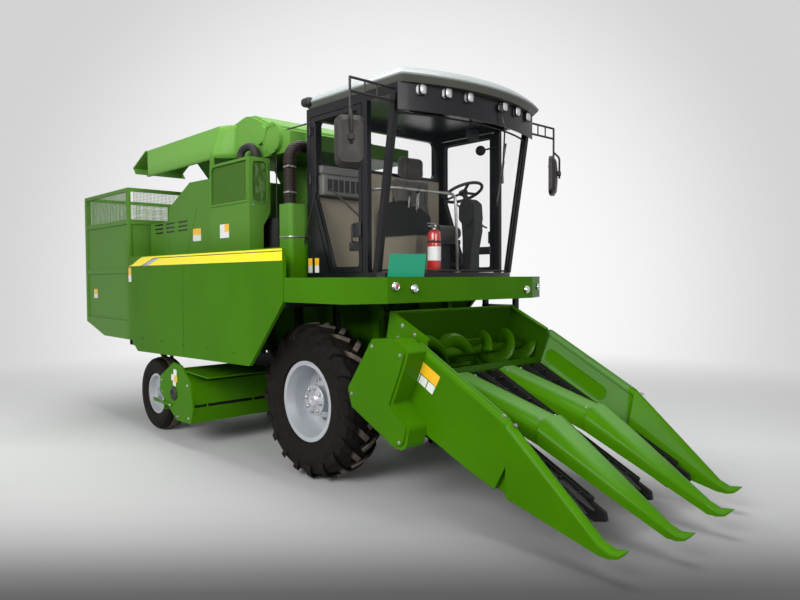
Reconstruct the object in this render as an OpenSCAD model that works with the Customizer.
// Three-row self-propelled corn harvester.
// X points forward, Y to the machine's left, Z up; the ground is z = 0. Lengths in millimetres.
// Stations along X are measured from the front axle and moved to the origin by place().

/* [Wheels] */
// Outer diameter of a front drive tyre over its lugs
front_tyre_od = 1265; // [1180:5:1300]
// Width of a front drive tyre
front_tyre_w = 378; // [340:2:390]
// Outer diameter of the front rim's flange
front_rim_d = 655; // [600:5:680]
// Distance from the middle plane to the middle of a front tyre
front_wheel_y = 743; // [735:1:755]
// Number of lugs on each side of a front tyre
front_lugs = 19; // [14:1:24]
// Height of a front tyre's lugs
lug_h = 36; // [24:1:42]
// Outer diameter of a rear tyre
rear_tyre_od = 780; // [740:5:800]
// Width of a rear tyre
rear_tyre_w = 225; // [190:5:235]
// Outer diameter of the rear rim's flange
rear_rim_d = 430; // [410:5:450]
// Distance from the middle plane to the middle of a rear tyre
rear_wheel_y = 915; // [900:1:925]
// Distance between the axles
wheelbase = 2620; // [2600:5:2700]
// Distance from the middle plane to a kingpin
kingpin_y = 780; // [765:1:785]

/* [Chassis] */
// Height of the chassis rails' underside
rail_z = 760; // [740:5:780]
// Height of a chassis rail's section
rail_h = 120; // [100:5:130]
// Distance from the middle plane to the middle of a rail
rail_y = 410; // [380:5:430]
// Width of a rail's section
rail_w = 60; // [50:5:80]

/* [Side panels] */
// Distance from the middle plane to the outer face of the side panels
panel_y = 1159; // [1150:1:1180]
// Thickness of a side panel with its folded edges
panel_t = 30; // [20:1:40]
// Height of the side panels' top edge
panel_top = 1867; // [1850:1:1900]

/* [Platform and cab] */
// Height of the cab platform's walking surface
deck_z = 1632; // [1600:1:1660]
// Thickness of the platform's deck
deck_t = 40; // [30:1:50]
// Depth of the skirt round the platform
skirt_h = 187; // [150:1:190]
// Thickness of the skirt
skirt_t = 12; // [8:1:16]
// Station of the platform's front face
platform_front = 949; // [930:1:980]
// Distance from the middle plane to the cab's outer sides
cab_y = 790; // [760:5:820]
// Station of the cab's rear wall
cab_rear = -100; // [-120:5:-90]
// Height of the cab's door opening above the sill
cab_h = 1262; // [1200:2:1290]
// Thickness of the cab's posts, doors and walls
cab_t = 40; // [34:1:50]
// Height of the cab roof slab
roof_h = 116; // [90:2:140]

/* [Harvest bin] */
// Station of the bin's rear wall
bin_rear = -4450; // [-4600:10:-4400]
// Station of the bin's front wall
bin_front = -3050; // [-3060:5:-3010]
// Distance from the middle plane to the bin's sides
bin_y = 1110; // [1050:5:1120]
// Height of the bin's rim
bin_top = 2640; // [2500:10:2680]
// Thickness of the bin's walls with their ribs
bin_t = 30; // [20:1:40]

/* [Header] */
// Distance between neighbouring plant rows
row_pitch = 561; // [550:1:570]
// Distance from the middle plane to the header's outer sides
header_y = 822; // [815:1:826]
// Station of the inner snouts' tips
tip_x = 2870; // [2820:5:2920]
// Diameter of the cross auger over its flights
auger_d = 300; // [270:2:310]
// Diameter of the cross auger's tube
auger_tube_d = 76; // [60:2:110]

/* [Hidden] */
origin_x = (tip_x + bin_rear) / 2;
fit = 0.05;      // radial running clearance of a shaft in its bore
gap = 0.3;       // gap between pieces that seat on each other
$fn = 48;

// Colours
green = [0.24, 0.47, 0.06];
black = [0.06, 0.06, 0.07];
silver = [0.63, 0.68, 0.70];
rubber = [0.16, 0.13, 0.12];
steel = [0.45, 0.45, 0.45];
glass = [0.35, 0.42, 0.45, 0.4];
seat_grey = [0.25, 0.24, 0.24];

// ---------- helpers ----------

module place() { translate([-origin_x, 0, 0]) children(); }

// A block from its six faces
module block(x0, x1, y0, y1, z0, z1) {
  translate([x0, y0, z0]) cube([x1 - x0, y1 - y0, z1 - z0]);
}

// A side profile of [x, z] points carried from y0 to y1
module side_profile(points, y0, y1) {
  translate([0, y1, 0]) rotate([90, 0, 0]) linear_extrude(y1 - y0) polygon(points);
}

// Children drawn in the side plane (x, z) carried from y0 to y1
module side_shape(y0, y1) {
  translate([0, y1, 0]) rotate([90, 0, 0]) linear_extrude(y1 - y0) children();
}

// A cross profile of [y, z] points carried from x0 to x1
module cross_profile(points, x0, x1) {
  translate([x0, 0, 0]) rotate([90, 0, 90]) linear_extrude(x1 - x0) polygon(points);
}

// A cylinder along Y through [x, z] from y0 to y1
module y_rod(x, z, y0, y1, d) {
  translate([x, y1, z]) rotate([90, 0, 0]) cylinder(d = d, h = y1 - y0);
}

// A cylinder along X from x0 to x1
module x_rod(x0, x1, y, z, d) {
  translate([x0, y, z]) rotate([0, 90, 0]) cylinder(d = d, h = x1 - x0);
}

module both_sides() { children(); mirror([0, 1, 0]) children(); }

// A plate of [y, z] points, t thick, standing across the machine at station x
module slice(x, z, points, t = 1) { translate([x, 0, z]) rotate([90, 0, 90]) linear_extrude(t) polygon(points); }

// A polygon's points with the corners rounded: r is one radius, or a list with one for each corner
function rounded(points, r, n = 5) = [
  for (i = [0 : len(points) - 1])
    each corner_arc(points[(i + len(points) - 1) % len(points)], points[i], points[(i + 1) % len(points)],
                    is_list(r) ? r[i] : r, n)];
function corner_arc(before, corner, after, r, n) =
  r == 0 ? [corner] :
  let (u = (before - corner) / norm(before - corner), v = (after - corner) / norm(after - corner),
       half = acos(u * v) / 2,
       centre = corner + (u + v) / norm(u + v) * r / sin(half),
       from = (corner + u * r / tan(half) - centre) / r,
       to = (corner + v * r / tan(half) - centre) / r,
       sweep = 180 - 2 * half)
  [for (k = [0 : n]) centre + r * (from * sin(sweep * (1 - k / n)) + to * sin(sweep * k / n)) / sin(sweep)];

// Corners of a rectangle from its low and high corners
function box_points(a, b) = [a, [b[0], a[1]], b, [a[0], b[1]]];

// Arched [y, z] section of pressed sheet: half width w, depth d under its ridge
function arch(w, d, shoulder = 0.6) = concat(
  [[w, -d]],
  [for (a = [0 : 12 : 180]) [w * sign(cos(a)) * pow(abs(cos(a)), 0.75), shoulder * d * (pow(abs(sin(a)), 0.85) - 1)]],
  [[-w, -d]]);

// A straight bar of round section between two points in a plane of constant y
module bar_xz(y, a, b, d) {
  v = b - a;
  translate([a[0], y, a[1]]) rotate([0, 90 - atan2(v[1], v[0]), 0]) cylinder(d = d, h = norm(v));
}

// ---------- wheels ----------

front_z = front_tyre_od / 2;
rear_z = rear_tyre_od / 2;
axle_stub_d = 80;
rear_stub_d = 50;

// Tyre carcass and lug envelope: revolved half sections about Y, y is out of the wheel's middle.
// The bead sits between the rim's flanges, which stand lip proud of the seat at r_in.
module tyre_section(r_out, r_in, w, drop, bead, lip) {
  polygon([
    [r_in, -bead], [r_in + lip + 2, -bead], [r_in + lip + 14, -w * 0.45], [(r_in + r_out) / 2, -w * 0.5],
    [r_out - drop, -w * 0.47], [r_out - drop * 0.35, -w * 0.36], [r_out, -w * 0.15],
    [r_out, w * 0.15], [r_out - drop * 0.35, w * 0.36], [r_out - drop, w * 0.47],
    [(r_in + r_out) / 2, w * 0.5], [r_in + lip + 14, w * 0.45], [r_in + lip + 2, bead], [r_in, bead]
  ]);
}

module revolve_y() { rotate([-90, 0, 0]) rotate_extrude($fn = 64) children(); }

module lugs(r, w, n, bar_w, depth, lean) {
  for (side = [-1, 1], i = [0 : n - 1])
    rotate([0, (i + (side > 0 ? 0.5 : 0)) * 360 / n, 0])
      translate([0, side * w * 0.26, r - depth])
        rotate([0, 0, side * lean]) translate([-bar_w / 2, -w * 0.36, 0])
          cube([bar_w, w * 0.72, depth + 20]);
}

front_lip = 22;          // height of the rim's flanges over the tyre's seat
front_bead = front_tyre_w * 0.36;
module front_tyre() {
  r = front_tyre_od / 2;
  r_in = front_rim_d / 2 - front_lip;
  difference() {
    union() {
      revolve_y() tyre_section(r - lug_h, r_in, front_tyre_w - 24, 40, front_bead, front_lip);
      intersection() {
        lugs(r, front_tyre_w, front_lugs, 42, 130, 40);
        revolve_y() tyre_section(r, r - 180, front_tyre_w, 52, front_bead, 20);
      }
    }
    revolve_y() translate([0, -front_tyre_w]) square([r_in, front_tyre_w * 2]);
  }
}

front_disc_y = -70;      // the disc sits inboard of the rim's middle

// Rim drawn for the left side: +y is outboard
module front_rim() {
  rf = front_rim_d / 2;
  rb = rf - front_lip;    // barrel's outer radius, where the tyre seats
  h = front_bead;
  difference() {
    union() {
      revolve_y() difference() {
        polygon([[rb - 14, -h - 8], [rf, -h - 8], [rf, -h - gap], [rb - gap, -h], [rb - gap, h],
                 [rf, h + gap], [rf, h + 8], [rb - 14, h + 8], [rb - 30, h * 0.5], [rb - 30, -h * 0.5]]);
      }
      revolve_y() polygon([[0, front_disc_y - 10], [rb - 28, front_disc_y - 10], [rb - 28, front_disc_y + 6],
                           [rb - 120, front_disc_y + 6], [150, front_disc_y + 40], [112, front_disc_y + 40],
                           [112, front_disc_y + 120], [96, front_disc_y + 132], [0, front_disc_y + 132]]);
    }
    translate([0, front_disc_y - 40, 0]) rotate([-90, 0, 0]) cylinder(d = axle_stub_d + 2 * fit, h = 150);
  }
}

rear_lip = 16;
rear_bead = rear_tyre_w * 0.36;
module rear_tyre() {
  r = rear_tyre_od / 2;
  r_in = rear_rim_d / 2 - rear_lip;
  difference() {
    revolve_y() tyre_section(r, r_in, rear_tyre_w, 34, rear_bead, rear_lip);
    for (y = [-48, -16, 16, 48]) revolve_y() translate([r - 9, y - 5]) square([20, 10]);
    revolve_y() translate([0, -rear_tyre_w]) square([r_in, rear_tyre_w * 2]);
  }
}

rear_disc_y = 36;

module rear_rim() {
  rf = rear_rim_d / 2;
  rb = rf - rear_lip;
  h = rear_bead;
  difference() {
    union() {
      revolve_y() polygon([[rb - 10, -h - 8], [rf, -h - 8], [rf, -h - gap], [rb - gap, -h], [rb - gap, h],
                           [rf, h + gap], [rf, h + 8], [rb - 10, h + 8], [rb - 22, h * 0.6], [rb - 22, -h * 0.6]]);
      revolve_y() polygon([[0, rear_disc_y - 12], [rb - 20, rear_disc_y - 8], [rb - 20, rear_disc_y + 8],
                           [80, rear_disc_y + 16], [52, rear_disc_y + 16], [46, rear_disc_y + 58],
                           [0, rear_disc_y + 64]]);
      revolve_y() translate([0, rear_disc_y - 40]) square([50, 40]);
    }
    translate([0, rear_disc_y - 60, 0]) rotate([-90, 0, 0]) cylinder(d = rear_stub_d + 2 * fit, h = 80);
  }
}

module at_front(side) { translate([0, side * front_wheel_y, front_z]) mirror([0, side < 0 ? 1 : 0, 0]) children(); }
module at_rear(side) { translate([-wheelbase, side * rear_wheel_y, rear_z]) mirror([0, side < 0 ? 1 : 0, 0]) children(); }

module front_tyre_right() { color(rubber) place() at_front(-1) front_tyre(); }
module front_tyre_left() { color(rubber) place() at_front(1) front_tyre(); }
module front_rim_right() { color(silver) place() at_front(-1) front_rim(); }
module front_rim_left() { color(silver) place() at_front(1) front_rim(); }
module rear_tyre_right() { color(rubber) place() at_rear(-1) rear_tyre(); }
module rear_tyre_left() { color(rubber) place() at_rear(1) rear_tyre(); }
module rear_rim_right() { color(silver) place() at_rear(-1) rear_rim(); }
module rear_rim_left() { color(silver) place() at_rear(1) rear_rim(); }

// ---------- axles and chassis ----------

axle_beam_top = 700;
lift_pin = [150, 520];   // lift cylinders' pins on the front axle
lift_y = 360;

module front_axle() {
  hub_in = front_wheel_y + front_disc_y - 10;
  color(black) place() difference() {
    union() {
      block(-90, 90, -520, 520, front_z - 90, axle_beam_top);
      block(-90, 90, -rail_y - rail_w / 2, -rail_y + rail_w / 2, axle_beam_top, rail_z);
      block(-90, 90, rail_y - rail_w / 2, rail_y + rail_w / 2, axle_beam_top, rail_z);
      both_sides() {
        y_rod(0, front_z, 500, hub_in - 12, 230);
        y_rod(0, front_z, hub_in - 30, hub_in + 118, axle_stub_d);
        for (s = [-1, 1]) block(80, lift_pin[0] + 35, lift_y + s * 28 - 7, lift_y + s * 28 + 7, lift_pin[1] - 35, axle_beam_top - 20);
        y_rod(lift_pin[0], lift_pin[1], lift_y - 42, lift_y + 42, 30);
      }
    }
  }
}

kingpin_d = 40;
module rear_axle() {
  color(black) place() difference() {
    union() {
      block(-wheelbase - 50, -wheelbase + 50, -kingpin_y, kingpin_y, rear_z - 60, rear_z + 60);
      both_sides() translate([-wheelbase, kingpin_y, rear_z - 60]) cylinder(d = 92, h = 120);
    }
    both_sides() translate([-wheelbase, kingpin_y, rear_z - 100]) cylinder(d = kingpin_d + 2 * fit, h = 200);
  }
}

// Knuckle for the left side: a yoke over and under the axle's eye, and the wheel's spindle
module knuckle(side) {
  spindle_in = rear_wheel_y + rear_disc_y - 60;
  translate([-wheelbase, 0, rear_z]) mirror([0, side < 0 ? 1 : 0, 0]) {
    translate([0, kingpin_y, -84]) cylinder(d = kingpin_d, h = 168);
    for (z = [-84, 60 + gap]) translate([0, kingpin_y, z]) {
      cylinder(d = 88, h = 24 - gap);
      translate([-40, 0, 0]) cube([80, 72, 24 - gap]);
    }
    translate([-40, kingpin_y + 52, -84]) cube([80, 20, 168]);
    translate([0, kingpin_y + 60, 0]) rotate([-90, 0, 0]) cylinder(d = rear_stub_d, h = spindle_in + 76 - kingpin_y - 60);
  }
}
module knuckle_right() { color(black) place() knuckle(-1); }
module knuckle_left() { color(black) place() knuckle(1); }

chassis_front = 420;
bin_hinge = [-4330, 1000];
bin_pin = [-3500, 600];   // foot of the tipping cylinders
module chassis() {
  color(black) place() {
    rail_top = rail_z + rail_h;
    difference() {
      union() {
        both_sides() block(bin_hinge[0] - 60, chassis_front, rail_y - rail_w / 2, rail_y + rail_w / 2, rail_z, rail_top);
        for (x = [-4300, -3000, -1200]) block(x, x + 80, -rail_y, rail_y, rail_z + 10, rail_top - 10);
        block(-wheelbase - 60, -wheelbase + 60, -90, 90, rear_z + 60, rail_z + 20);
        block(-wheelbase - 60, -wheelbase + 60, -rail_y, rail_y, rail_z + 10, rail_top - 10);
        // ears that carry the bin's hinge
        both_sides() for (y = [rail_y - rail_w / 2, rail_y + rail_w / 2 - 12])
          block(bin_hinge[0] - 40, bin_hinge[0] + 40, y, y + 12, rail_top, bin_hinge[1] + 30);
        both_sides() y_rod(bin_hinge[0], bin_hinge[1], rail_y - rail_w / 2, rail_y + rail_w / 2, 30);
        // posts under the engine deck
        both_sides() for (x = [-1300, -820])
          block(x, x + 60, rail_y - rail_w / 2, rail_y + rail_w / 2, rail_top, engine_deck_z - engine_deck_t);
        // towing ears at the rear
        for (z = [rail_z + 20, rail_z + 75]) block(bin_rear + 5, -4290, -45, 45, z, z + 18);
      }
      translate([bin_rear + 45, 0, rail_z]) cylinder(d = tow_hole_d, h = rail_h);
    }
  }
}
tow_hole_d = 32;

// Hangers under the rails, with the pins that the bin's cylinders turn on
module bin_cylinder_feet() {
  hanger_t = 12;
  color(black) place() both_sides() {
    block(bin_pin[0] - 40, bin_pin[0] + 40, rail_y + rail_w / 2 - hanger_t, rail_y + rail_w / 2, bin_pin[1] - 35, rail_z - gap);
    y_rod(bin_pin[0], bin_pin[1], rail_y + rail_w / 2 - 1, bin_cyl_y + 32, pin_d);
  }
}

// ---------- body ----------

panel_rear = -2960;
panel_edge = 40;          // width of the panels' folded edge
panel_sheet = 8;          // depth left behind the fold
seam_x = -1626;           // joint between the front and rear panels
panel_outline = [[panel_rear, 1010], [-2730, 852], [-420, 905], [88, 1444], [88, panel_top], [panel_rear, panel_top]];
panel_inside = [[panel_rear + panel_edge, 1010 + panel_edge], [-2715, 852 + panel_edge], [-436, 905 + panel_edge],
                [88 - panel_edge, 1444 + 16], [88 - panel_edge, panel_top - panel_edge],
                [panel_rear + panel_edge, panel_top - panel_edge]];
module side_panel() {
  difference() {
    side_shape(panel_y - panel_t, panel_y) polygon(rounded(panel_outline, [30, 30, 30, 30, 8, 8]));
    difference() {
      side_profile(panel_inside, panel_y - panel_t - 1, panel_y - panel_sheet);
      block(seam_x - 40, seam_x + 40, panel_y - panel_t - 1, panel_y, 800, panel_top);
    }
    block(seam_x - 3, seam_x + 3, panel_y - 5, panel_y + 1, 800, panel_top + 1);
  }
}
module side_panels() { color(green) place() both_sides() side_panel(); }

husker_front = -1400;
husker_y = 900;
louvre_x = [-2828, -2551, -2250];   // rear ends of the three columns of louvres
louvre_z = [2116, 2160, 2204];
louvre_w = 200;
louvre_h = 16;
module husker_housing() {
  color(green) place() {
    difference() {
      side_profile([[-2950, 900], [husker_front, 900], [husker_front, 2590], [-1990, 2600], [-2460, 2383],
                    [-2500, 2235], [-2950, 2235]], -husker_y, husker_y);
      both_sides() {
        for (x = louvre_x, z = louvre_z) block(x, x + louvre_w, husker_y - 14, husker_y + 1, z, z + louvre_h);
        // joint between the husker's side sheet and the front frame
        side_profile([[-2058, 1900], [-2050, 1900], [-1822, 2340], [-1830, 2340]], husker_y - 6, husker_y + 1);
        block(-2480, -2474, husker_y - 6, husker_y + 1, 1900, 2235);
      }
    }
    // hoods over the louvres
    both_sides() for (x = louvre_x, z = louvre_z)
      block(x - 6, x + louvre_w + 6, husker_y - 1, husker_y + 9, z + louvre_h, z + louvre_h + 4);
    // ledges that carry the side panels
    both_sides() {
      block(-2950, husker_front, husker_y, panel_y - panel_t, panel_top - 30, panel_top);
      block(-2950, husker_front, husker_y, panel_y - panel_t, 900, 930);
    }
    // feet on the chassis rails
    both_sides() for (x = [-2900, -1500]) block(x, x + 80, rail_y - 30, rail_y + 30, rail_z + rail_h, 900);
  }
}

engine_deck_z = 1440;
engine_deck_t = 40;
module engine_deck() {
  color(black) place() difference() {
    block(husker_front, 80, -panel_y + panel_t, panel_y - panel_t, engine_deck_z - engine_deck_t, engine_deck_z);
    block(-900, 100, -elev_y - 25, elev_y + 25, 1300, 1500);
  }
}

module engine() {
  color([0.12, 0.12, 0.12]) place() block(-980, -340, -760, -elev_y - 20, engine_deck_z, 2160);
}

rad_rear = -1370;
rad_front = -660;
rad_top = 2680;
rad_y = [-1000, -790];
rad_window_z = 2300;
module radiator_box() {
  color(green) place() difference() {
    block(rad_rear, rad_front, rad_y[0], rad_y[1], engine_deck_z, rad_top);
    // recesses of the side and front screens
    side_shape(rad_y[0] - 1, rad_y[0] + 30)
      polygon(rounded(box_points([rad_rear + 30, rad_window_z + 5], [rad_front - 40, rad_top - 20]), [8, 8, 8, 60]));
    translate([rad_front - 30, 0, 0]) rotate([90, 0, 90]) linear_extrude(31)
      polygon(rounded(box_points([rad_y[0] + 28, rad_window_z - 10], [rad_y[1] - 28, rad_top - 30]), 45));
    // chamfer under the front screen, and the joint round the door
    cross_profile([[rad_y[1] + 1, 2210], [rad_y[1] - 70, 2090], [rad_y[1] - 80, engine_deck_z - 1], [rad_y[1] + 1, engine_deck_z - 1]],
      rad_front - 300, rad_front + 1);
    block(rad_rear - 1, rad_front - 8, rad_y[0] - 1, rad_y[0] + 4, rad_window_z - 16, rad_window_z - 12);
  }
}

// ---------- elevator and discharge ----------

elev_y = 300;            // half width of the elevator
pivot = [40, 1160];      // axis that the header and its feeder turn about
elev_slope = 52.4;
elev_t = 330;
head_z = 2700;           // underside of the elevator's head
chute_top = 3060;
chute_rear = -3000;
head_rear = -1360;

module elevator() {
  dirx = -cos(elev_slope);
  dirz = sin(elev_slope);
  s0 = 330;              // start of the housing, measured up the slope from the pivot
  s1 = 2300;
  function along(s, n) = [pivot[0] + dirx * s + dirz * n, pivot[1] + dirz * s - dirx * n];
  color(green) place() {
    union() {
      intersection() {
        side_profile([along(s0, -elev_t / 2), along(s1, -elev_t / 2), along(s1, elev_t / 2), along(s0, elev_t / 2)],
          -elev_y, elev_y);
        block(-2000, 200, -elev_y, elev_y, 1000, head_z);
      }
      // cheeks that carry the pivot shaft
      both_sides() side_profile([along(-130, -elev_t / 2), along(s0 + 200, -elev_t / 2),
        along(s0 + 200, elev_t / 2), along(-130, elev_t / 2)], elev_y, elev_y + 18);
      y_rod(pivot[0], pivot[1], -elev_y - 18, elev_y + 18, 60);
    }
  }
}

head_notch_y = -640;      // the front right corner is cut back for the air intake
guard_axis = [-560, 2838];
guard_d = 270;
module elevator_head() {
  color(green) place() difference() {
    union() {
      side_profile([[head_rear, head_z], [head_rear, chute_top], [-1190, 3080], [-1080, 3104], [-1012, 3107],
                    [-940, 3092], [-652, 2957], [cab_rear - 60, 2830], [cab_rear - 60, head_z]], -800, 420);
      // lid over the head's crest
      side_profile([[-1180, 3082], [-1080, 3104], [-1012, 3107], [-940, 3092], [-700, 2980], [-704, 2998], [-936, 3107],
                    [-1012, 3115], [-1084, 3113], [-1180, 3094]], -760, 380);
      // belt guard on the right side
      y_rod(guard_axis[0], guard_axis[1], -840, -799, guard_d);
      y_rod(guard_axis[0] - 190, guard_axis[1] + 62, -840, -799, 170);
    }
    block(-330, cab_rear, -801, head_notch_y, head_z - 1, 3000);
    y_rod(guard_axis[0], guard_axis[1], -841, -832, guard_d - 60);
  }
}

chute_cut = 270;          // how far the chute's side sheets are cut back at their lower edge
deflector_end = [-3360, 2910];
flap_end = [-3290, 2832];
sheet = 12;
module discharge_chute() {
  color(green) place() {
    difference() {
      union() {
        cross_profile([[-1000, 2740], [-900, chute_top], [-350, chute_top], [-250, 2740]], chute_rear, head_rear);
        // folded lips along the lower edges
        cross_profile([[-1014, 2734], [-1014, 2752], [-980, 2752], [-980, 2734]], chute_rear, head_rear);
        cross_profile([[-270, 2734], [-270, 2752], [-236, 2752], [-236, 2734]], chute_rear, head_rear);
      }
      cross_profile([[-988, 2730], [-889, chute_top - sheet], [-361, chute_top - sheet], [-262, 2730]],
        chute_rear - 1, head_rear + 1);
      side_profile([[chute_rear - 1, 2700], [chute_rear + chute_cut, 2700], [chute_rear, chute_top - sheet],
                    [chute_rear - 1, chute_top - sheet]], -1100, -200);
    }
    // deflector over the bin, with its hanging flap
    side_profile([[chute_rear + 2, chute_top], deflector_end, deflector_end + [4, -14], [chute_rear + 2, chute_top - sheet]],
      -925, -325);
    side_profile([deflector_end, deflector_end + [12, 2], flap_end + [12, 2], flap_end], -925, -325);
    // legs on the husker housing and on the radiator box
    block(-1900, -1860, -262, -250, 2600, 2760);
    block(head_rear, head_rear + 50, -1000, -980, rad_top, 2760);
  }
}

// ---------- bin ----------

rib_z = [1690, 2240];     // heights of the ribs round the bin
rib_h = 50;
rib_depth = 14;           // how far ribs and corner posts stand out from the sheets
post_w = 60;              // width of the corner posts
bin_floor = 950;
bin_wall_foot = 1100;     // the rear wall starts higher, where the floor slopes up

// Recesses between the ribs and posts of one wall, from u0 to u1 along it; the top one is an open window
module wall_fields(u0, u1) {
  rows = [[bin_wall_foot + 60, rib_z[0]], [rib_z[0] + rib_h, rib_z[1]], [rib_z[1] + rib_h, bin_top - 40]];
  for (i = [0 : 2]) translate([u0, i == 2 ? -bin_t - 1 : -rib_depth, rows[i][0]])
    cube([u1 - u0, i == 2 ? bin_t + 2 : rib_depth + 1, rows[i][1] - rows[i][0]]);
}

module bin() {
  color(green) place() difference() {
    union() {
      difference() {
        side_profile([[bin_rear, bin_wall_foot], [bin_rear + 600, bin_floor], [bin_front, bin_floor],
                      [bin_front, bin_top], [bin_rear, bin_top]], -bin_y, bin_y);
        side_profile([[bin_rear + bin_t, bin_wall_foot + 10], [bin_rear + 610, bin_floor + bin_t],
                      [bin_front - bin_t, bin_floor + bin_t], [bin_front - bin_t, bin_top + 10],
                      [bin_rear + bin_t, bin_top + 10]], -bin_y + bin_t, bin_y - bin_t);
        both_sides() translate([0, bin_y, 0]) wall_fields(bin_rear + post_w, bin_front - post_w);
        both_sides() {
          translate([bin_front, 0, 0]) rotate([0, 0, -90]) wall_fields(post_w / 2 - bin_y, -post_w / 2 );
          translate([bin_rear, 0, 0]) rotate([0, 0, 90]) wall_fields(post_w / 2, bin_y - post_w);
        }
      }
      // hinge lugs
      both_sides() side_shape(rail_y - rail_w / 2 + 12 + gap, rail_y + rail_w / 2 - 12 - gap)
        polygon([[bin_hinge[0] - 30, bin_hinge[1] - 30], [bin_hinge[0] + 30, bin_hinge[1] - 30],
                 [bin_hinge[0] + 40, 1080], [bin_hinge[0] - 40, 1080]]);
      // ears beside the tipping cylinders' rod eyes
      both_sides() for (y = [bin_cyl_y - 34, bin_cyl_y + 22])
        block(bin_rod_pin[0] - 35, bin_rod_pin[0] + 35, y, y + 12, bin_rod_pin[1] - 30, 1000);
    }
    both_sides() y_rod(bin_hinge[0], bin_hinge[1], rail_y - 60, rail_y + 60, 30 + 2 * fit);
  }
}
bin_rod_pin = [-3950, 900];

// A cylinder in the side plane from pin a to pin b: barrel round a, rod eye round b
eye_w = 40;
eye_d = 60;
pin_d = 30;
module barrel(a, b, y, d, len) {
  v = (b - a) / norm(b - a);
  difference() {
    union() {
      y_rod(a[0], a[1], y - eye_w / 2, y + eye_w / 2, eye_d);
      bar_xz(y, a + v * 20, a + v * 75, eye_w - 6);
      bar_xz(y, a + v * 70, a + v * len, d);
    }
    y_rod(a[0], a[1], y - eye_w, y + eye_w, pin_d + 2 * fit);
    bar_xz(y, a + v * 95, a + v * (len + 10), d * 0.55 + 2 * fit);
  }
}
module rod(a, b, y, d, len) {
  v = (b - a) / norm(b - a);
  y_rod(b[0], b[1], y - eye_w / 2, y + eye_w / 2, eye_d - 14);
  bar_xz(y, a + v * 150, b - v * 10, d * 0.55);
}

bin_cyl_y = rail_y + rail_w / 2 + 42;
module bin_barrels() { color(black) place() both_sides() barrel(bin_pin, bin_rod_pin, bin_cyl_y, 64, 430); }
module bin_rods() { color(steel) place() both_sides() rod(bin_pin, bin_rod_pin, bin_cyl_y, 64, 430); }

// ---------- platform and ladder ----------

skirt_bottom = deck_z - skirt_h;
platform_corner = [815, 1154];
platform_nose_y = 857;
platform_rear = 89;
function platform_outline(inset) = [
  [platform_rear, -platform_corner[1] + inset], [platform_corner[0] - inset * 0.4, -platform_corner[1] + inset],
  [platform_front - inset, -platform_nose_y + inset * 0.4], [platform_front - inset, platform_nose_y - inset * 0.4],
  [platform_corner[0] - inset * 0.4, platform_corner[1] - inset], [platform_rear, platform_corner[1] - inset]];

module platform() {
  color(green) place() {
    translate([0, 0, deck_z - deck_t]) linear_extrude(deck_t) polygon(platform_outline(0));
    // turned lip along the skirt's lower edge
    translate([0, 0, skirt_bottom]) linear_extrude(skirt_t) difference() {
      polygon(platform_outline(2));
      polygon(platform_outline(40));
      translate([platform_rear - 5, 2 - platform_corner[1] + skirt_t]) square([50, 2 * (platform_corner[1] - skirt_t - 2)]);
    }
    translate([0, 0, skirt_bottom]) linear_extrude(skirt_h - deck_t) difference() {
      polygon(platform_outline(0));
      translate([-1, 0]) polygon(platform_outline(skirt_t));
      translate([platform_rear - 5, -platform_corner[1] + skirt_t]) square([50, 2 * (platform_corner[1] - skirt_t)]);
    }
    block(cab_rear, platform_rear, -cab_y, -elev_y - 60, deck_z - deck_t, deck_z);
    block(cab_rear, platform_rear, elev_y + 60, cab_y, deck_z - deck_t, deck_z);
    both_sides() block(300, 380, rail_y - 30, rail_y + 30, rail_z + rail_h, deck_z - deck_t);
  }
}

module ladder() {
  color(black) place() {
    for (x = [260, 620]) block(x, x + 30, 1000, 1060, 470, deck_z - deck_t);
    for (z = [500, 780, 1060, 1340]) block(290, 620, 960, 1080, z, z + 30);
    for (x = [260, 620]) block(x, x + 30, 1060, platform_corner[1] - skirt_t, skirt_bottom + 60, skirt_bottom + 100);
  }
}

// ---------- cab ----------

sill_h = 36;
cab_floor = deck_z;
cab_low = cab_floor + sill_h;
cab_top = cab_floor + sill_h + cab_h;
ring_h = 70;            // header ring between the posts and the roof
band_h = 120;           // how far the lamp band hangs below the ring
band_t = 12;
front_low = 754;        // station of the windscreen's foot at its corners
front_high = 961;       // and at its head
b_post = 600;
b_post_w = 60;
bow = 150;              // how far the windscreen's middle stands ahead of its corners
screen_lean = atan2(front_high - front_low, cab_h);

// Outline of the cab's floor with its bowed front; x_front is the corner station
module bowed_plan(x_rear, x_front, y, rise) {
  r = (y * y + rise * rise) / (2 * rise);
  intersection() {
    translate([x_rear, -y]) square([x_front + rise - x_rear, 2 * y]);
    translate([x_front + rise - r, 0]) circle(r, $fn = 180);
  }
}

rear_sill = 907;          // height of the rear window over the cab's sill
function rear_window(inset) = rounded(box_points([-cab_y + 120 + inset, cab_low + rear_sill + inset],
                                                 [cab_y - 120 - inset, cab_top - 12 - inset]), 45);
door_hinge = [-47, 798];
hinge_d = 15;
hinge_pin_d = 8;
hinge_h = 44;             // height of a door hinge's knuckle
hinge_lug = 14;           // height of the frame's lugs over and under it
hinge_z = [cab_low + 760, cab_low + 1150];

// A lug of the frame's half of a door hinge, standing up (s = 1) or down (s = -1) from z
module frame_lug(z, s) {
  translate([door_hinge[0], door_hinge[1], s > 0 ? z : z - hinge_lug]) cylinder(d = hinge_d, h = hinge_lug);
  block(cab_rear + 10, door_hinge[0], cab_y - 1, cab_y + 5, s > 0 ? z : z - hinge_lug, s > 0 ? z + hinge_lug : z);
}

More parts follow.
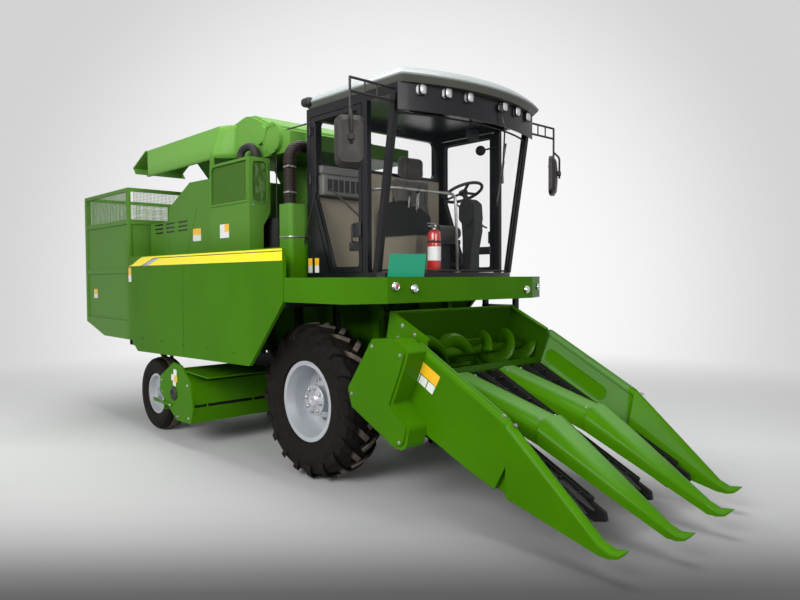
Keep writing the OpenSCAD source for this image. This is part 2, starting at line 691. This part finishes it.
module cab_frame() {
  color(black) place() {
    // sill ring
    translate([0, 0, cab_floor]) linear_extrude(sill_h) difference() {
      bowed_plan(cab_rear, front_low, cab_y, bow);
      bowed_plan(cab_rear + cab_t, front_low - cab_t, cab_y - cab_t, bow);
    }
    // header ring under the roof, with the lamp band hanging from its front
    translate([0, 0, cab_top]) linear_extrude(ring_h) difference() {
      bowed_plan(cab_rear, front_high + band_t + 20, cab_y, bow);
      bowed_plan(cab_rear + cab_t, front_high - cab_t, cab_y - cab_t, bow);
    }
    translate([0, 0, cab_top - band_h]) linear_extrude(band_h + 1) difference() {
      bowed_plan(front_high, front_high + band_t + 20, cab_y, bow);
      translate([-1, 0]) bowed_plan(front_high - 10, front_high + 21, cab_y + 10, bow);
    }
    both_sides() {
      // rear corner post, middle post and the closed panel behind the door's slanted edge
      block(cab_rear, cab_rear + 50, cab_y - cab_t, cab_y, cab_low, cab_top);
      block(b_post, b_post + b_post_w, cab_y - cab_t, cab_y, cab_low, cab_top);
      side_profile([[cab_rear + 50, cab_low], [190, cab_low], [-45, cab_low + 650]], cab_y - cab_t, cab_y);
      // leaning front post
      side_profile([[front_low - 40, cab_low], [front_low + 10, cab_low], [front_high + 10, cab_top],
                    [front_high - 40, cab_top]], cab_y - cab_t, cab_y);
    }
    // rear wall round the rear window
    difference() {
      block(cab_rear, cab_rear + cab_t, -cab_y + cab_t, cab_y - cab_t, cab_low, cab_top);
      cross_profile(rear_window(0), cab_rear - 1, cab_rear + cab_t + 1);
    }
    // headliner
    translate([0, 0, cab_top + ring_h - 12]) linear_extrude(12)
      bowed_plan(cab_rear + cab_t - 1, front_high - cab_t + 1, cab_y - cab_t + 1, bow);
    // hinge lugs and pins of the doors
    both_sides() for (z = hinge_z) {
      translate([door_hinge[0], door_hinge[1], z - hinge_h / 2 - hinge_lug]) cylinder(d = hinge_pin_d, h = hinge_h + 2 * hinge_lug);
      for (s = [-1, 1]) frame_lug(z + s * (hinge_h / 2 + gap), s);
    }
  }
}

roof_z = cab_top + ring_h;
roof_side = 20;           // how far the roof stands out beside the cab
roof_rear = cab_rear - 50;
roof_rise = 180;          // bow of the roof's front edge
roof_front = front_high + 90;
// Plan of the roof at an inset from its widest line: rounded corners at the rear, a bowed front
function roof_plan(inset) = let (
    w = cab_y + roof_side - inset,
    xf = roof_front - inset,
    r = (w * w + roof_rise * roof_rise) / (2 * roof_rise),
    half = asin(w / r),
    n = 16)
  rounded(concat([[roof_rear + inset, w], [roof_rear + inset, -w]],
                 [for (k = [0 : n]) let (a = -half + 2 * half * k / n) [xf + roof_rise - r + r * cos(a), r * sin(a)]]),
          concat([70, 70], [34], [for (k = [1 : n - 1]) 0], [34]));
module cab_roof() {
  // inset and height, as shares of the roof's height, of the layers of its rounded edge
  layers = [[34, 0], [4, 0.34], [0, 0.46], [14, 0.66], [52, 0.94], [90, 1]];
  color(silver) place() hull() for (l = layers)
    translate([0, 0, roof_z + l[1] * (roof_h - 1)]) linear_extrude(1) polygon(roof_plan(l[0]));
}

glass_t = 8;
module cab_glass() {
  color(glass) place() {
    // bowed windscreen: a leaning slice of a round wall between the front posts
    screen_r = (pow(cab_y - cab_t, 2) + bow * bow) / (2 * bow);
    intersection() {
      translate([front_low, 0, cab_low]) rotate([0, screen_lean, 0]) translate([bow - screen_r - 12, 0, -150])
        difference() {
          cylinder(r = screen_r, h = cab_h + 300, $fn = 180);
          translate([0, 0, -1]) cylinder(r = screen_r - glass_t, h = cab_h + 302, $fn = 180);
        }
      block(front_low - 60, front_high + bow + 50, -cab_y + cab_t, cab_y - cab_t, cab_low, cab_top);
    }
    // front quarter windows
    both_sides() side_profile([[b_post + b_post_w, cab_low], [front_low - 40, cab_low], [front_high - 40, cab_top],
                               [b_post + b_post_w, cab_top]], cab_y - 24, cab_y - 24 + glass_t);
    // rear window
    cross_profile(rear_window(gap), cab_rear + 15, cab_rear + 15 + glass_t);
  }
}

door_gap = 6;
door_lo = cab_low + door_gap;
door_hi = cab_top - door_gap;
door_front = b_post - door_gap;
door_rear = cab_rear + 50 + door_gap;
door_slant_z = cab_low + 650;
door_foot = 205;
function door_outline(inset) = [
  [door_rear + inset, door_hi - inset], [door_front - inset, door_hi - inset],
  [door_front - inset, door_lo + inset], [door_foot + inset * 0.75, door_lo + inset],
  [door_rear + inset, door_slant_z + inset * 0.4]];
module door_frame(side) {
  y0 = side > 0 ? cab_y - cab_t : -cab_y;
  difference() {
    union() {
      side_shape(y0, y0 + cab_t) difference() {
        polygon(rounded(door_outline(0), 18));
        polygon(rounded(door_outline(38), 30));
      }
      // hinge leaves and knuckles
      mirror([0, side < 0 ? 1 : 0, 0]) for (z = hinge_z) {
        translate([door_hinge[0], door_hinge[1], z - hinge_h / 2]) cylinder(d = hinge_d, h = hinge_h);
        block(door_hinge[0], door_rear + 4, cab_y + 1, cab_y + 5, z - hinge_h / 2, z + hinge_h / 2);
        block(door_rear + 3, door_rear + 34, cab_y - 1, cab_y + 5, z - hinge_h / 2, z + hinge_h / 2);
      }
    }
    mirror([0, side < 0 ? 1 : 0, 0]) for (z = hinge_z)
      translate([door_hinge[0], door_hinge[1], z - hinge_h]) cylinder(d = hinge_pin_d + 2 * fit, h = 2 * hinge_h);
  }
}
module door_glass(side) {
  y0 = side > 0 ? cab_y - 24 : -cab_y + 24 - glass_t;
  side_profile(rounded(door_outline(38 + gap), 30), y0, y0 + glass_t);
}
module door_right() { color(black) place() door_frame(-1); }
module door_left() { color(black) place() door_frame(1); }
module door_right_glass() { color(glass) place() door_glass(-1); }
module door_left_glass() { color(glass) place() door_glass(1); }

driver_y = 280;           // the driver's place, left of the middle plane
module seat_base() {
  color(black) place() translate([0, driver_y, 0]) {
    block(80, 400, -190, 190, cab_floor, cab_floor + 60);
    block(110, 360, -150, 150, cab_floor + 60, cab_floor + 290);
    block(50, 430, -215, 215, cab_floor + 290, cab_floor + 330);
  }
}
module seat_cushions() {
  color(seat_grey) place() translate([0, driver_y, 0]) {
    block(30, 470, -235, 235, cab_floor + 330, cab_floor + 450);
    side_shape(-225, 225)
      polygon(rounded([[-10, cab_floor + 450], [100, cab_floor + 450], [70, cab_floor + 900], [-50, cab_floor + 900]], 20));
    side_shape(-150, 150)
      polygon(rounded([[-44, cab_floor + 890], [64, cab_floor + 890], [50, cab_floor + 1095], [-40, cab_floor + 1095]], 20));
  }
}
wheel_hub = [655, 2345];  // middle of the steering wheel
wheel_r = 165;            // radius of its rim's centre line
wheel_tilt = -24;
module steering_column() {
  color(black) place() translate([0, driver_y, 0]) {
    side_shape(-52, 52)
      polygon(rounded([[690, cab_floor], [690, cab_floor + 330], [672, cab_floor + 560], [720, cab_floor + 672],
                       [812, cab_floor + 610], [822, cab_floor + 380], [790, cab_floor + 240], [770, cab_floor]],
                      [0, 30, 40, 45, 50, 60, 40, 0]));
    side_shape(-70, 70)
      polygon(rounded([[664, cab_floor + 480], [666, cab_floor + 590], [720, cab_floor + 660], [800, cab_floor + 610],
                       [812, cab_floor + 470], [740, cab_floor + 400]], 40));
    bar_xz(0, [712, cab_floor + 620], wheel_hub, 44);
    translate([wheel_hub[0], 0, wheel_hub[1]]) rotate([0, wheel_tilt, 0]) {
      rotate_extrude($fn = 48) translate([wheel_r, 0]) circle(d = 26, $fn = 16);
      cylinder(d = 76, h = 26, center = true);
      for (a = [90, 210, 330]) rotate([0, 0, a]) translate([0, -11, -7]) cube([wheel_r, 22, 12]);
    }
  }
}
module cab_console() {
  color(black) place() {
    side_shape(-140, 20)
      polygon(rounded([[40, cab_floor], [40, cab_floor + 600], [380, cab_floor + 600], [520, cab_floor + 500],
                       [520, cab_floor + 380], [470, cab_floor]], [0, 40, 50, 40, 60, 0]));
    // pad under the driver's arm
    side_shape(-100, -20)
      polygon(rounded([[60, cab_floor + 590], [60, cab_floor + 650], [330, cab_floor + 650], [330, cab_floor + 590]], [0, 25, 25, 0]));
  }
}

mirror_x = 945;
mirror_y = 1180;
mirror_arm_d = 18;
mirror_arm_z = [cab_top - 56, cab_top + ring_h / 2];   // heights of an arm's two bars
mirror_turn = 28;
mirror_size = [206, 350];
module mirrors() {
  color(black) place() both_sides() {
    for (z = mirror_arm_z) y_rod(mirror_x, z, cab_y, mirror_y, mirror_arm_d);
    for (y = [cab_y + 150, mirror_y - 130])
      translate([mirror_x, y, mirror_arm_z[0]]) cylinder(d = 12, h = mirror_arm_z[1] - mirror_arm_z[0]);
    translate([mirror_x, mirror_y, cab_top - 420]) cylinder(d = mirror_arm_d, h = 420 + ring_h / 2);
    translate([mirror_x, mirror_y, mirror_arm_z[1]]) sphere(d = mirror_arm_d);
    // clamp, ball and rounded housing
    translate([mirror_x, mirror_y, cab_top - 330]) cylinder(d = 36, h = 60);
    translate([mirror_x, mirror_y, cab_top - 390]) rotate([0, 0, mirror_turn]) {
      translate([-26, 0, 90]) sphere(d = 46);
      hull() {
        slice(-30, 0, rounded(box_points(-mirror_size / 2, mirror_size / 2), 55, 6), 30);
        slice(10, 0, rounded(box_points(-mirror_size * 0.4, mirror_size * 0.4), 45, 6), 14);
      }
    }
  }
}

lamp_y = [-620, -410, -205, 205, 410, 620];
lamp_size = 72;
lamp_corner = 22;
skirt_lamp_d = 60;
skirt_lamps = [[-788, 1566], [-603, 1548], [762, 1520]];   // [y, z] on the platform's front face
corner_lamp = [0.62, 1538];                                // share of the left corner's face, and height
module front_lamps() {
  band_x = front_high + band_t + 20;
  r = (pow(cab_y, 2) + bow * bow) / (2 * bow);
  half = lamp_size / 2;
  color([0.8, 0.8, 0.78]) place() {
    difference() {
      for (y = lamp_y) {
        x = band_x + bow - r + sqrt(r * r - y * y);
        translate([x - 20, y, cab_top + 30]) rotate([90, 0, 90])
          linear_extrude(46) polygon(rounded(box_points([-half, -half], [half, half]), lamp_corner));
      }
      translate([0, 0, cab_top - 20]) linear_extrude(120) bowed_plan(0, band_x + gap, cab_y, bow);
    }
    for (p = skirt_lamps) {
      x_rod(platform_front + gap, platform_front + 14, p[0], p[1], skirt_lamp_d);
      x_rod(platform_front + 13, platform_front + 22, p[0], p[1], skirt_lamp_d - 14);
    }
    corner_run = [platform_corner[0] - platform_front, platform_corner[1] - platform_nose_y];
    translate([platform_front + corner_run[0] * corner_lamp[0], platform_nose_y + corner_run[1] * corner_lamp[0], corner_lamp[1]])
      rotate([0, 90, atan2(-corner_run[0], corner_run[1])]) translate([0, 0, gap]) {
        cylinder(d = skirt_lamp_d - 10, h = 14);
        cylinder(d = skirt_lamp_d - 24, h = 20);
      }
  }
}

// ---------- header ----------

auger_axis = [950, 1050];
trough_t = 10;
trough_y = 712;

feeder_front = 776;
feeder_drum = [690, 930];
feeder_drum_d = 150;
module feeder_house() {
  color(green) place() difference() {
    union() {
      difference() {
        side_profile([[40, 975], [feeder_front - gap, 725], [feeder_front - gap, 1120], [640, 1190], [200, 1335], [40, 1345]],
          -elev_y + 8, elev_y - 8);
        // mouth behind the trough's opening
        side_profile([[480, 842], [feeder_front, 742], [feeder_front, 1106], [640, 1176], [480, 1228]],
          -elev_y + 20, elev_y - 20);
      }
      y_rod(pivot[0], pivot[1], -elev_y + 8, elev_y - 8, 370);
      // conveyor drum and slats in the mouth
      y_rod(feeder_drum[0], feeder_drum[1], -elev_y + 19, elev_y - 19, feeder_drum_d);
      for (a = [20, 140, 260]) rotate_about(feeder_drum, a)
        block(feeder_drum[0] - 14, feeder_drum[0] + 14, -elev_y + 19, elev_y - 19, feeder_drum[1] + 60, feeder_drum[1] + 90);
    }
    y_rod(pivot[0], pivot[1], -elev_y, elev_y, 60 + 2 * fit);
  }
}

throat_y = 250;           // half width of the opening to the feeder
throat_z = [900, 1100];
module header_trough() {
  auger_r = auger_d / 2 + 20;
  color(green) place() {
    // back wall, floor round the auger and front lip
    difference() {
      side_shape(-trough_y, trough_y) difference() {
        polygon([[830, 1385], [860, 1385], [860, 1375], [800, 1150], [800, 1040], [1130, 1040], [1130, 905],
                 [1050, 840], [800, 690], [776, 730], [776, 1140]]);
        polygon([[840, 1376], [900, 1376], [1140, 1040], [1140, 915], [1120, 915], [1090, 950], [auger_axis[0], 1052],
                 [786, 1052], [786, 1145]]);
        translate(auger_axis) circle(auger_r);
      }
      block(770, 862, -throat_y, throat_y, throat_z[0], throat_z[1]);
    }
    // end plates with a turned flange
    both_sides() difference() {
      side_profile([[830, 1385], [1205, 1200], [1205, 1150], [1130, 905], [1050, 840], [800, 690], [776, 730], [776, 1140]],
        trough_y, trough_y + 12);
      y_rod(auger_axis[0], auger_axis[1], trough_y - 5, trough_y + 20, auger_shaft_d + 2 * fit);
    }
    both_sides() side_profile([[828, 1374], [1203, 1189], [1205, 1200], [830, 1385]], trough_y - 24, trough_y + 1);
    // stiffening folds on the back of the back wall
    for (y = [-480, 480]) side_profile([[776, 760], [776, 1138], [828, 1376], [800, 1376], [750, 1140], [750, 790]], y - 20, y + 20);
    // brackets of the lift cylinders' rods
    both_sides() for (y = [lift_y - 42, lift_y + 28]) side_profile([[960, 600], [1030, 600], [1060, 860], [940, 800]], y, y + 14);
  }
}
lift_rod_pin = [1000, 640];

auger_shaft_d = 50;
flight_pitch = 290;
flight_half = 5;          // half the angle that a flight takes on its turn, in degrees
flight_from = 110;        // the flights leave the middle free, where the feeder takes over
module auger_flight(hand) {
  r = auger_d / 2;
  length = trough_y - 10 - flight_from;
  translate([auger_axis[0], 0, auger_axis[1]]) rotate([-90, 0, 0]) translate([0, 0, flight_from])
    linear_extrude(length, twist = hand * 360 * length / flight_pitch, slices = 36, segments = 4)
      polygon([[0, 0], [r * cos(flight_half), -r * sin(flight_half)], [r, 0], [r * cos(flight_half), r * sin(flight_half)]]);
}
module header_auger() {
  color(green) place() {
    y_rod(auger_axis[0], auger_axis[1], -trough_y + 2, trough_y - 2, auger_tube_d);
    y_rod(auger_axis[0], auger_axis[1], -trough_y - 20, trough_y + 20, auger_shaft_d);
    both_sides() auger_flight(1);
    // paddles over the feeder's mouth
    for (a = [0, 180]) rotate_about(auger_axis, a + 30)
      block(auger_axis[0] - 4, auger_axis[0] + 4, -90, 90, auger_axis[1] + auger_tube_d / 2 - 6, auger_axis[1] + 110);
  }
}

deck_slope = atan2(560, 1250);
frame_slope = atan2(905 - 240, 2430 - 1130);
roll_y = 42;              // half the distance between a row's two rolls
roll_d = 68;
roll_length = 1230;
chain_y = 88;             // middle of a gathering chain's loop
chain_r = 22;
chain_w = 12;
chain_length = 1340;
module stalk_roll(turn) {
  rotate([0, 0, turn]) {
    cylinder(d = roll_d, h = roll_length);
    for (a = [0 : 90 : 270]) rotate([0, 0, a]) translate([roll_d / 2 - 4, -5, 50]) cube([13, 10, roll_length - 120]);
    translate([0, 0, roll_length]) cylinder(d1 = roll_d, d2 = 20, h = 120);
  }
}
// Loop of a gathering chain with the lugs that draw the stalks in; s is the side of the row it runs on
module gathering_chain(s) {
  linear_extrude(24) difference() {
    union() {
      translate([chain_r, 0]) circle(chain_r);
      translate([chain_length - chain_r, 0]) circle(chain_r);
      translate([chain_r, -chain_r]) square([chain_length - 2 * chain_r, 2 * chain_r]);
    }
    translate([chain_r, chain_w - chain_r]) square([chain_length - 2 * chain_r, 2 * (chain_r - chain_w)]);
  }
  for (i = [0 : 8]) translate([90 + i * 145, s > 0 ? -chain_r - 34 : chain_r - 2, 2]) cube([14, 36, 18]);
  for (x = [chain_r, chain_length - chain_r]) translate([x, 0, -6]) cylinder(d = 26, h = 36);
}
module row_units() {
  color(black) place() for (k = [-1, 0, 1]) translate([0, k * row_pitch, 0]) for (s = [-1, 1]) {
    side_profile([[1130, 905], [2430, 240], [2440, 190], [2360, 170], [1060, 800], [1050, 840]],
      s * 90 - 15, s * 90 + 15);
    translate([1150, s * roll_y, 800]) rotate([0, 90 + deck_slope, 0]) stalk_roll(s > 0 ? 45 : 0);
    translate([1150, s * chain_y, 892]) rotate([0, frame_slope, 0]) gathering_chain(s);
  }
}

cover_rear = [1130 + gap, 917];
cover_front = [1931, 694];
module row_covers() {
  slope = atan2(cover_rear[1] - cover_front[1], cover_front[0] - cover_rear[0]);
  color(green) place() for (k = [-0.5, 0.5]) translate([0, k * row_pitch, 0]) difference() {
    hull() {
      slice(cover_rear[0], cover_rear[1], arch(150, 110));
      slice(cover_front[0] - 1, cover_front[1], arch(164, 150));
    }
    // hollow underside
    translate([cover_rear[0], 0, cover_rear[1] - 12]) rotate([0, slope, 0]) rotate([90, 0, 90]) translate([0, 0, -40])
      linear_extrude(950) polygon([[-134, -320], [-134, -56], [-100, -16], [100, -16], [134, -56], [134, -320]]);
  }
}

// Forward part of a snout: a rounded neck that flattens into a lifted shoe at station tip
module snout_nose(tip) {
  hull() {
    slice(tip - 150, 204, arch(40, 74));
    slice(tip - 84, 174, arch(43, 44));
  }
  hull() {
    slice(tip - 85, 174, arch(43, 44));
    slice(tip - 40, 172, arch(38, 30));
    slice(tip - 1, 190, arch(9, 7));
  }
}
snout_rear = [cover_front[0] + gap, 712];
snout_neck = [2722, 204];
module inner_snouts() {
  color(green) place() for (k = [-0.5, 0.5]) translate([0, k * row_pitch, 0]) {
    difference() {
      hull() {
        slice(snout_rear[0], snout_rear[1], arch(174, 164));
        slice(snout_neck[0], snout_neck[1], arch(38, 74));
      }
      // hollow underside
      translate([snout_rear[0] - 4, 0, snout_rear[1] - 175]) rotate([0, 90 + 28.3, 0]) cylinder(r1 = 132, r2 = 20, h = 830);
    }
    snout_nose(tip_x);
  }
}

outer_tip = 2735;
divider_slope = atan2(1180 - 765, 1960 - 1200);
divider_top_r = 36;
ledge_y = 670;            // inner edge of the ledge along the outer row
ledge_drop = 262;         // how far that ledge lies under the top edge
cone_seam = 1960;         // station where the front cone is hinged on
cone_neck = outer_tip - 150;

// Side profile of the outer sheet behind the cone
divider_side = [[924, 726], [1160, 1180], [1200, 1180], [1960, 765], [1985, 290], [1683, 398]];
module divider() {
  inner_foot = trough_y + 12 + gap;
  // outer sheet, rolled top and sloping inner sheet down to the ledge
  intersection() {
    side_profile(divider_side, ledge_y, header_y);
    union() {
      side_profile(divider_side, header_y - 60, header_y - divider_top_r);
      translate([1200, 0, 1180]) rotate([0, divider_slope, 0]) translate([-400, 0, 0]) rotate([90, 0, 90])
        linear_extrude(1400) union() {
          translate([header_y - divider_top_r, -divider_top_r]) circle(divider_top_r);
          polygon([[header_y, -700], [header_y, -divider_top_r], [header_y - divider_top_r, 0],
                   [header_y - divider_top_r - 26, -12], [724, -ledge_drop + 14], [724, -700]]);
        }
      translate([1200, 0, 1180]) rotate([0, divider_slope, 0]) translate([45, 0, 0]) rotate([90, 0, 90])
        linear_extrude(1000) union() {
          translate([ledge_y + 26, -ledge_drop - 26]) circle(26);
          polygon([[ledge_y, -700], [ledge_y, -ledge_drop - 26], [ledge_y + 26, -ledge_drop], [726, -ledge_drop + 16], [726, -700]]);
        }
    }
    difference() {
      block(900, 2000, ledge_y, header_y + 1, 280, 1200);
      block(900, 1215, ledge_y - 1, inner_foot, 280, 1200);
    }
  }
  // front cone with an upright outer face
  hull() {
    slice(cone_seam, 0, [[header_y, 300], [header_y, 722], [header_y - 12, 750], [header_y - 36, 766], [header_y - 58, 756],
                         [header_y - 84, 700], [header_y - 132, 560], [header_y - 148, 480], [header_y - 150, 300]], 3);
    slice(cone_seam + 24, 0, [[header_y, 290], [header_y - 150, 290], [header_y - 150, 420]], 1);
    translate([0, header_y - 42, 0]) slice(cone_neck, 204, arch(40, 74));
  }
  translate([0, header_y - 42, 0]) snout_nose(outer_tip);
}
module dividers() { color(green) place() both_sides() divider(); }

drive_cover_y = -1000;
module header_drive_cover() {
  outline = [[928, 1205], [655, 830], [700, 700], [1144, 486], [1262, 470], [1303, 644], [1136, 771], [1254, 1025], [1296, 1137], [1160, 1220]];
  radii = [20, 46, 40, 60, 70, 60, 20, 60, 20, 20];
  color(green) place() {
    side_shape(drive_cover_y + 14, -header_y - gap) polygon(rounded(outline, radii));
    // raised face of the cover
    side_shape(drive_cover_y, drive_cover_y + 15) polygon(rounded([[932, 1178], [684, 832], [722, 718], [1152, 511], [1240, 500],
      [1278, 640], [1108, 762], [1228, 1026], [1266, 1128], [1154, 1192]], [18, 40, 34, 50, 60, 50, 20, 50, 18, 18]));
  }
}

module lift_barrels() { color(black) place() both_sides() barrel(lift_pin, lift_rod_pin, lift_y, 70, 560); }
module lift_rods() { color(steel) place() both_sides() rod(lift_pin, lift_rod_pin, lift_y, 70, 560); }

// ---------- stalk chopper ----------

rotor_axis = [-1850, 500];
chopper_y = 1140;
rotor_plate = [[-1857, 807], [-2175, 640], [-2175, 480], [-1809, 245], [-1500, 250], [-1456, 390], [-1501, 645], [-1690, 787]];
hood = [[-1857, 745], [-2130, 619], [-2140, 480], [-2140, 300], [-2128, 300], [-2128, 480], [-2118, 611], [-1850, 733],
        [-1690, 733], [-1513, 640], [-1513, 600], [-1501, 600], [-1501, 645], [-1690, 745]];
hood_roof = [[-1700, 748], [-1180, 726], [-1180, 714], [-1690, 733]];
front_panel = [[-1501, 646], [-1489, 646], [-1478, 430], [-1490, 430]];
front_guard = [[-1474, 404], [-1462, 404], [-1490, 256], [-1502, 256]];
module chopper_housing() {
  color(green) place() {
    side_profile(hood, -chopper_y, chopper_y);
    side_profile(hood_roof, -chopper_y, chopper_y);
    for (panel = [front_panel, front_guard]) side_profile(panel, -chopper_y, chopper_y);
    // stiffeners behind the front panels
    for (y = [-1000, -500, 0, 500, 1000]) side_profile([[-1500, 640], [-1492, 640], [-1478, 430], [-1466, 404], [-1494, 256],
      [-1512, 256], [-1492, 404], [-1510, 500]], y - 5, y + 5);
    both_sides() difference() {
      side_shape(chopper_y, chopper_y + 20) polygon(rounded(rotor_plate, 24));
      y_rod(rotor_axis[0], rotor_axis[1], chopper_y - 10, chopper_y + 30, 60 + 2 * fit);
    }
    // arm of the height setting
    both_sides() side_profile([[-2330, 410], [-1900, 395], [-1900, 365], [-2330, 378]], chopper_y + 19, chopper_y + 31);
    both_sides() block(-1850, -1770, rail_y - 30, rail_y + 30, 745, rail_z);
  }
}
module chopper_rotor() {
  color(steel) place() {
    y_rod(rotor_axis[0], rotor_axis[1], -chopper_y + 4, chopper_y - 4, 140);
    y_rod(rotor_axis[0], rotor_axis[1], -chopper_y - 18, chopper_y + 18, 60);
    for (i = [0 : 15]) rotate_about(rotor_axis, i * 100)
      block(rotor_axis[0] - 30, rotor_axis[0] + 30, -1080 + i * 144 - 10, -1080 + i * 144 + 10, rotor_axis[1] + 60, rotor_axis[1] + 195);
  }
}
module rotate_about(p, a) {
  translate([p[0], 0, p[1]]) rotate([0, a, 0]) translate([-p[0], 0, -p[1]]) children();
}

intake = [-245, -862];    // the pipe's place over the tank
intake_d = 100;
intake_bend = 120;
intake_top = 2732;        // height of the pipe's level run to the elevator's head
module air_intake() {
  color([0.2, 0.14, 0.1]) place() translate([intake[0], intake[1], 0]) {
    translate([0, 0, tank_top]) cylinder(d = intake_d, h = intake_top - intake_bend - tank_top);
    translate([0, intake_bend, intake_top - intake_bend]) rotate([0, -90, 0]) rotate([0, 0, 0])
      rotate_extrude(angle = -90) translate([intake_bend, 0]) circle(d = intake_d);
    translate([0, intake_bend, intake_top]) rotate([-90, 0, 0]) cylinder(d = intake_d, h = head_notch_y - intake[1] - intake_bend - gap);
    for (z = [tank_top + 60, intake_top - intake_bend - 40]) translate([0, 0, z]) cylinder(d = intake_d + 10, h = 18);
  }
}
tank_top = 2240;
tank_strap_z = [1960, 1975];
module tank_plan(inset, r) {
  polygon(rounded(box_points([-330 + inset, -930 + inset], [-150 - inset, -700 - inset]), r));
}
module fuel_tank() {
  color(green) place() {
    translate([0, 0, engine_deck_z]) linear_extrude(tank_strap_z[0] - engine_deck_z) tank_plan(0, 40);
    translate([0, 0, tank_strap_z[0] - 1]) linear_extrude(tank_strap_z[1] - tank_strap_z[0] + 2) tank_plan(10, 34);
    translate([0, 0, tank_strap_z[1]]) linear_extrude(tank_top - tank_strap_z[1]) tank_plan(0, 40);
  }
}

chassis();
bin_cylinder_feet();
front_axle();
rear_axle();
front_tyre_right();
front_rim_right();
front_tyre_left();
front_rim_left();
knuckle_right();
knuckle_left();
rear_tyre_right();
rear_rim_right();
rear_tyre_left();
rear_rim_left();
side_panels();
husker_housing();
engine_deck();
engine();
radiator_box();
elevator();
elevator_head();
discharge_chute();
bin();
bin_barrels();
bin_rods();
platform();
ladder();
cab_frame();
cab_roof();
cab_glass();
door_right();
door_right_glass();
door_left();
door_left_glass();
seat_base();
seat_cushions();
steering_column();
cab_console();
mirrors();
front_lamps();
feeder_house();
header_trough();
header_auger();
row_units();
row_covers();
dividers();
inner_snouts();
header_drive_cover();
lift_barrels();
lift_rods();
chopper_housing();
chopper_rotor();
air_intake();
fuel_tank();
